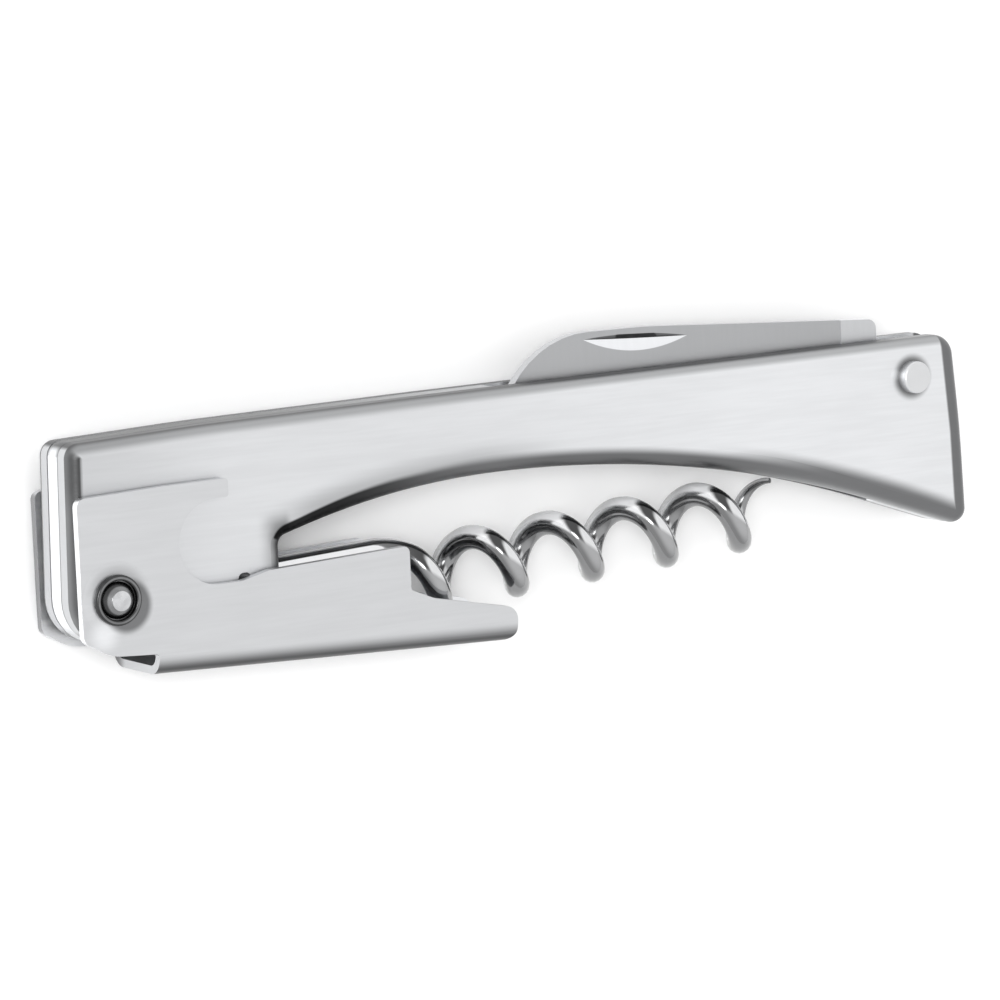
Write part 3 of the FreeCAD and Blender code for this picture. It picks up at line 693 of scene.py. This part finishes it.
pivotSteel = steelFinish("turnedPivotSteel", (0.46, 0.465, 0.475), 0.28, grain=0.3, lines=(900.0, 900.0),
                         patches=1.6, cloudy=0.8, bump=0.4, shade=pivotShade)
pivot = {"face": 5.2, "bossTop": 5.34, "bossWidth": 4.7, "ringTop": 5.9, "ringOuter": 2.65, "ringInner": 2.05,
         "headRadius": 1.95, "headEdge": 5.5, "headTop": 6.35, "topRadius": 1.08, "pin": 1.5}

# The cheeks are pressed out a little round the pivot, and a ring stands on that boss
pivotBoss = turnedPiece("pivotBossNear", [
    (pivot["pin"], pivot["face"] - 0.2, 0), (pivot["bossWidth"], pivot["face"] - 0.2, 0),
    (pivot["bossWidth"], pivot["face"] - 0.01, 0), (3.9, pivot["face"], 1.4), (2.95, pivot["bossTop"], 1.0),
    (pivot["pin"], pivot["bossTop"], 0),
], leverPivot)
cutWith(pivotBoss, slab("bossSide", roundedLine(leverLine), 4, 8), "INTERSECT")
pivotRing = turnedPiece("pivotRingNear", [
    (pivot["ringInner"], pivot["face"], 0), (pivot["ringOuter"], pivot["face"], 0),
    (pivot["ringOuter"], pivot["ringTop"], 0.25), (pivot["ringInner"], pivot["ringTop"], 0.22),
], leverPivot)
pivotRivet = turnedPiece("pivotRivet", [
    (0, -pivot["headTop"], 0), (pivot["topRadius"], -pivot["headTop"], 0.14),
    (pivot["headRadius"], -pivot["headEdge"], 0.1), (pivot["headRadius"], -pivot["face"], 0),
    (pivot["pin"], -pivot["face"], 0), (pivot["pin"], pivot["face"], 0),
    (pivot["headRadius"], pivot["face"], 0), (pivot["headRadius"], pivot["headEdge"], 0.1),
    (pivot["topRadius"], pivot["headTop"], 0.14), (0, pivot["headTop"], 0),
], leverPivot)
farBoss, farRing = turnOver(pivotBoss), turnOver(pivotRing)
farBoss.name, farRing.name = "pivotBossFar", "pivotRingFar"
for piece in (pivotBoss, farBoss):
    finish(piece, "lever", leverSteel, weighted=False)
finish(pivotRing, "lever", pivotSteel, ["pivot_washer_near"], weighted=False)
finish(farRing, "lever", pivotSteel, ["pivot_washer_far"], weighted=False)
finish(pivotRivet, "lever", pivotSteel, ["lever_pivot_pin"], weighted=False)
print("lever made")

worm = {"wire": 1.325, "eye": 2.94, "coil": 3.04, "pitch": 9.758, "tilt": 3.0, "turns": 5.0,
        "start": (42.11, -7.28), "shankEnd": (38.6, -3.84), "first": 50.0, "tip": 0.3, "taper": 0.5,
        "eyeTurn": (-425, -90, 9), "shankSteps": 10, "bendSteps": 12, "perTurn": 40}


def coilPoint(angle):
    tilt = math.radians(worm["tilt"])
    along = Vector((math.cos(tilt), math.sin(tilt), 0))
    across = Vector((-math.sin(tilt), math.cos(tilt), 0))
    return (Vector((*worm["start"], 0)) + along * worm["pitch"] * angle / (2 * math.pi)
            + across * worm["coil"] * math.cos(angle) + Vector((0, 0, worm["coil"] * math.sin(angle))))


def wormLine():
    # The wire's middle line and its thickness: eye, shank, bend, helix and point
    line = []
    for degrees in range(*worm["eyeTurn"]):
        angle = math.radians(degrees)
        line.append((Vector((wormPivot[0] + worm["eye"] * math.cos(angle),
                             wormPivot[1] + worm["eye"] * math.sin(angle), 0)), 1.0))
    shankStart = Vector((wormPivot[0], wormPivot[1] - worm["eye"], 0))
    shankEnd = Vector((*worm["shankEnd"], 0))
    for step in range(worm["shankSteps"] + 1):
        line.append((shankStart.lerp(shankEnd, step / worm["shankSteps"]), 1.0))
    first = math.radians(worm["first"])
    meet = coilPoint(first)
    reach = (meet - shankEnd).length
    leave = (shankEnd - shankStart).normalized() * reach
    arrive = (coilPoint(first + 0.01) - coilPoint(first - 0.01)).normalized() * reach
    for step in range(1, worm["bendSteps"]):
        t = step / worm["bendSteps"]
        line.append((shankEnd * (2 * t**3 - 3 * t**2 + 1) + leave * (t**3 - 2 * t**2 + t)
                     + meet * (3 * t**2 - 2 * t**3) + arrive * (t**3 - t**2), 1.0))
    last = 2 * math.pi * worm["turns"]
    taperStart = last - 2 * math.pi * worm["taper"]
    steps = round(worm["turns"] * worm["perTurn"])
    for step in range(steps + 1):
        angle = first + (last - first) * step / steps
        share = max(0.0, (angle - taperStart) / (last - taperStart))
        line.append((coilPoint(angle), 1 - share * (1 - worm["tip"] / worm["wire"])))
    return line


wormTone = {
    "across": (0.384, 0.075, 0.922), "front": (0.74, 0.84, 0.11, 1.05), "back": (0.55, 0.4, 0.11, 1.15),
    "under": (0.72, 1.0, 0.29, 0.58), "upwards": (0.02, 0.22), "depthZ": (-1.85, 0.65, 0.7, 1.0),
    "shankX": (43.34, 39.34, 1.0, 2.4), "crestUp": (0.25, 0.5), "crestBack": (0.5, 0.35), "crestMetal": 0.2,
    "most": 1.15,
}


def wormShade(tree, spot, form):
    # Painted reflections on the polished wire: a dark band across its upper side between two light ones, an
    # even grey below, darker behind, lighter along the shank
    normal = surfaceNormal(tree)
    across = dotWith(tree, normal, wormTone["across"])
    upper = mathNode(tree, "MAXIMUM", ramp(tree, across, *wormTone["front"]),
                     ramp(tree, across, *wormTone["back"]))
    lower = ramp(tree, mathNode(tree, "ABSOLUTE", normal[2]), *wormTone["under"])
    tone = product(tree, blend(tree, ramp(tree, normal[1], *wormTone["upwards"]), lower, upper),
                   ramp(tree, spot[2], *wormTone["depthZ"]), ramp(tree, spot[0], *wormTone["shankX"]))
    # Painted highlight on the crests: less metal there, so that they stay light under the dark handle
    crest = product(tree, ramp(tree, normal[1], *wormTone["crestUp"]),
                    ramp(tree, across, *wormTone["crestBack"]))
    metallic = tree.nodes["Principled BSDF"].inputs["Metallic"]
    feed(tree, metallic, blend(tree, crest, 1.0, wormTone["crestMetal"]))
    return mathNode(tree, "MINIMUM", tone, wormTone["most"])


wormSteel = steelFinish("polishedWormSteel", (0.74, 0.745, 0.755), 0.13, grain=0.05, lines=(700.0, 900.0),
                        patches=1.2, bump=0.1, roughGrain=0.03, shade=wormShade)
bpy.ops.object.select_all(action="DESELECT")
bpy.ops.curve.primitive_nurbs_path_add(location=(0, 0, 0))
wormPiece = bpy.context.object
wormPiece.name = "wormHelix"
wire = wormPiece.data
wire.splines.clear()
points = wormLine()
spline = wire.splines.new("POLY")
spline.points.add(len(points) - 1)
for target, (point, thickness) in zip(spline.points, points):
    target.co = (*place(*point), 1)
    target.radius = thickness
wire.dimensions = "3D"
wire.twist_mode = "MINIMUM"
wire.bevel_depth = worm["wire"] * mm
wire.bevel_resolution = 6
wire.use_fill_caps = True
pickOnly(wormPiece)
bpy.ops.object.convert(target="MESH")
closeUp(wormPiece)
finish(wormPiece, "worm", wormSteel, ["worm"], angle=60, weighted=False)
print("worm made")

blade = {"half": 0.7, "grind": 0.1, "ricasso": 100.6, "tang": 4.0, "edgeY": 6.2, "ramp": 35.0, "edge": 0.2,
         "hole": 1.3}
heelX = bladePivot[0] - blade["tang"] * math.tan(math.radians(blade["ramp"]) / 2)
rampX = heelX - (blade["edgeY"] - bladePivot[1] + blade["tang"]) / math.tan(math.radians(blade["ramp"]))
tangRight = bladePivot[0] + blade["tang"]
tangLow, tangHigh = bladePivot[1] - blade["tang"], bladePivot[1] + blade["tang"]
bladeLine = [
    (58.0, blade["edgeY"], 4.0), (rampX, blade["edgeY"], 0.6), (heelX, tangLow, blade["tang"]),
    (tangRight, tangLow, blade["tang"]), (tangRight, tangHigh, blade["tang"]),
    (105.5, tangHigh, 0.5), (105.5, 15.15, 1.1), (74.4, 17.1, 60.0), (60.72, 17.2, 12.0),
    (56.5, 11.17, 0.6),
]
nick = {"left": (66.3, 16.25), "right": (80.1, 15.55), "depth": 0.35, "width": 1.4, "wheelDepth": 4.0,
        "chamfer": 0.42}


def nickWheel():
    # The round cutter that mills the nail nick: deep at its flat side, running out towards the edge
    left, right = Vector((*nick["left"], 0)), Vector((*nick["right"], 0))
    chord = right - left
    towardsEdge = Vector((chord.y, -chord.x, 0)).normalized()
    outwards = Vector((0, 0, 1))
    lean = math.atan2(nick["depth"], nick["width"])
    axis = towardsEdge * math.cos(lean) + outwards * math.sin(lean)
    radial = outwards * math.cos(lean) - towardsEdge * math.sin(lean)
    radius = (chord.length / 2) ** 2 / (2 * nick["depth"])
    face = blade["half"] - blade["grind"]
    deepest = (left + right) / 2 + outwards * (face - nick["depth"])
    centre = deepest + radial * radius + axis * (nick["wheelDepth"] / 2 - nick["chamfer"])
    bpy.ops.object.select_all(action="DESELECT")
    bpy.ops.mesh.primitive_cylinder_add(
        vertices=720, radius=radius * mm, depth=nick["wheelDepth"] * mm, location=place(*centre),
        rotation=axis.to_track_quat("Z", "Y").to_euler())
    wheel = bpy.context.object
    settle(wheel)
    useModifier(wheel, "BEVEL", limit_method="ANGLE", angle_limit=math.radians(50),
                width=nick["chamfer"] * mm, segments=1)
    return wheel


def makeBlade():
    piece = slab("foilBlade", roundedLine(bladeLine), -blade["half"], blade["half"])
    face = blade["half"] - blade["grind"]
    for low, high in ((face, face + 1), (-face - 1, -face)):  # ground faces, up to the step by the pivot
        cutWith(piece, boxTool((40, -5, low), (blade["ricasso"], 25, high)))
    useModifier(piece, "BEVEL", limit_method="ANGLE", angle_limit=math.radians(50), width=blade["edge"] * mm,
                segments=2, use_clamp_overlap=True)
    cutWith(piece, nickWheel())
    cutWith(piece, roundTool(bladePivot, blade["hole"], -3, 3))
    return piece


bladeTone = {
    "ricassoX": (100.59, 100.74, 1.0, 1.35), "wallTurn": (15, 30), "wall": 1.3, "nick": 2.0, "nickWall": 0.3,
    "nickZ": ((0.59, 0.57), (0.2, 0.22)), "nickX": ((65.34, 65.94), (81.14, 80.54)),
    "nickY": ((13.71, 14.01), (16.61, 16.41)),
}


def bladeShade(tree, spot, form):
    # The blade is lighter past the ricasso's step. Painted light and shade: the upper and left edge walls
    # lighter, the nick's floor light under a dark line on its wall
    x, y, z = spot
    walls = product(tree, mathNode(tree, "MAXIMUM", form["Up"], form["Left"]),
                    ramp(tree, form["Turn"], *bladeTone["wallTurn"]))
    tone = product(tree, ramp(tree, x, *bladeTone["ricassoX"]), blend(tree, walls, 1.0, bladeTone["wall"]))
    nickPlace = (("nickZ", mathNode(tree, "ABSOLUTE", z)), ("nickX", x), ("nickY", y))
    nickMask = product(tree, *(ramp(tree, value, *limits) for name, value in nickPlace
                               for limits in bladeTone[name]))
    return blend(tree, nickMask, tone, blend(tree, form["Down"], bladeTone["nick"], bladeTone["nickWall"]))


bladeSteel = steelFinish("satinBladeSteel", (0.44, 0.445, 0.455), 0.32, grain=0.04, lines=(1500.0, 150.0),
                         patches=0.9, shade=bladeShade)
finish(makeBlade(), "blade", bladeSteel, ["blade"])
rivetSteel = steelFinish("brightRivetSteel", (0.70, 0.705, 0.715), 0.38, grain=0.04, lines=(500.0, 500.0),
                         patches=0.8, bump=0.1)
head = {"radius": 1.8, "pin": 1.25, "bottom": 3.9, "top": 5.1, "edge": 0.28}
bladeRivet = turnedPiece("bladeRivet", [
    (0, -head["top"], 0), (head["radius"], -head["top"], head["edge"]), (head["radius"], -head["bottom"], 0),
    (head["pin"], -head["bottom"], 0), (head["pin"], head["bottom"], 0), (head["radius"], head["bottom"], 0),
    (head["radius"], head["top"], head["edge"]), (0, head["top"], 0),
], bladePivot)
finish(bladeRivet, "handle", rivetSteel, ["blade_rivet"], weighted=False)
print("blade made")

# Inner pieces keep their solids and get a finish
springSteel = steelFinish("springSteel", (0.52, 0.525, 0.535), 0.32, grain=0.10)
innerSteel = steelFinish("plainInnerSteel", (0.26, 0.263, 0.27), 0.30, grain=0.08, lines=(700.0, 900.0))
innerFinish = {
    "back_spring": springSteel, "foot_spacer": layerSteel, "lever_pivot_bush": innerSteel,
    "worm_pivot_pin": rivetSteel, "worm_washer_near": innerSteel, "worm_washer_far": innerSteel,
    "blade_washer_near": innerSteel, "blade_washer_far": innerSteel, "spine_pin_1": innerSteel,
    "spine_pin_2": innerSteel, "spring_pin_1": innerSteel, "spring_pin_2": innerSteel,
    "foot_pin_1": innerSteel, "foot_pin_2": innerSteel,
}
for nodeName, material in innerFinish.items():
    node = frame["nodes"][nodeName]
    for materialSlot in node.material_slots:
        materialSlot.material = material
print("inner pieces finished")

stage = {"floorSize": 6.0, "floorTone": 0.80, "floorSeen": 0.97, "ambient": 1.1, "keyPower": 2.2,
         "keySize": 0.26, "keyDistance": 0.8, "keyAzimuth": 164.0, "keyHeight": 55.0}


def seenOrMirrored(tree):  # 1 for what the camera sees directly, in metal or through glass
    rays = addNode(tree, "ShaderNodeLightPath").outputs
    mirrored = mathNode(tree, "MAXIMUM", rays["Is Glossy Ray"], rays["Is Transmission Ray"])
    return mathNode(tree, "MAXIMUM", rays["Is Camera Ray"], mirrored)


bpy.ops.object.select_all(action="DESELECT")
bpy.ops.mesh.primitive_plane_add(size=stage["floorSize"], location=(0, 0, 0))
floor = bpy.context.object
floor.name = "studioFloor"
floorMaterial = bpy.data.materials.new("paleFloor")
floorMaterial.use_nodes = True
tree = floorMaterial.node_tree
tree.nodes.clear()
paint = addNode(tree, "ShaderNodeBsdfDiffuse")
floorGrey = blend(tree, seenOrMirrored(tree), stage["floorTone"], stage["floorSeen"])
tree.links.new(floorGrey, paint.inputs["Color"])
output = addNode(tree, "ShaderNodeOutputMaterial")
tree.links.new(paint.outputs[0], output.inputs["Surface"])
floor.data.materials.append(floorMaterial)

world = bpy.data.worlds.new("paleStudio")
bpy.context.scene.world = world
world.use_nodes = True
tree = world.node_tree
background = tree.nodes["Background"]
background.inputs["Color"].default_value = (1, 1, 1, 1)
strength = blend(tree, seenOrMirrored(tree), stage["ambient"], 1.0)
tree.links.new(strength, background.inputs["Strength"])

keyTurn, keyRise = math.radians(stage["keyAzimuth"]), math.radians(stage["keyHeight"])
keyDirection = Vector((math.cos(keyTurn) * math.cos(keyRise), math.sin(keyTurn) * math.cos(keyRise),
                       math.sin(keyRise)))
bpy.ops.object.light_add(type="AREA", location=keyDirection * stage["keyDistance"])
keyLamp = bpy.context.object
keyLamp.name = "keyLamp"
keyLamp.data.shape = "DISK"
keyLamp.data.size = stage["keySize"]
keyLamp.data.energy = stage["keyPower"]
keyLamp.rotation_euler = keyDirection.to_track_quat("Z", "Y").to_euler()
print("stage set")

view = {"azimuth": 31.5, "rise": 7.426, "roll": -2.602, "lens": 187.2,
        "spot": (-235.949, 72.554, 475.228)}
azimuth, rise, roll = (math.radians(view[name]) for name in ("azimuth", "rise", "roll"))
backwards = Vector((-math.sin(azimuth) * math.cos(rise), math.sin(rise), math.cos(azimuth) * math.cos(rise)))
level = Vector((math.cos(azimuth), 0, math.sin(azimuth)))
upright = backwards.cross(level)
rightwards = level * math.cos(roll) + upright * math.sin(roll)
upwards = upright * math.cos(roll) - level * math.sin(roll)
bpy.ops.object.camera_add(location=place(*view["spot"]))
camera = bpy.context.object
camera.matrix_world = Matrix.Translation(place(*view["spot"])) @ Matrix(
    (rightwards, upwards, backwards)).transposed().to_4x4()
camera.data.lens = view["lens"]
camera.data.sensor_width = 36.0
camera.data.clip_start = 0.01
bpy.context.scene.camera = camera
bpy.context.scene.view_settings.view_transform = "Standard"
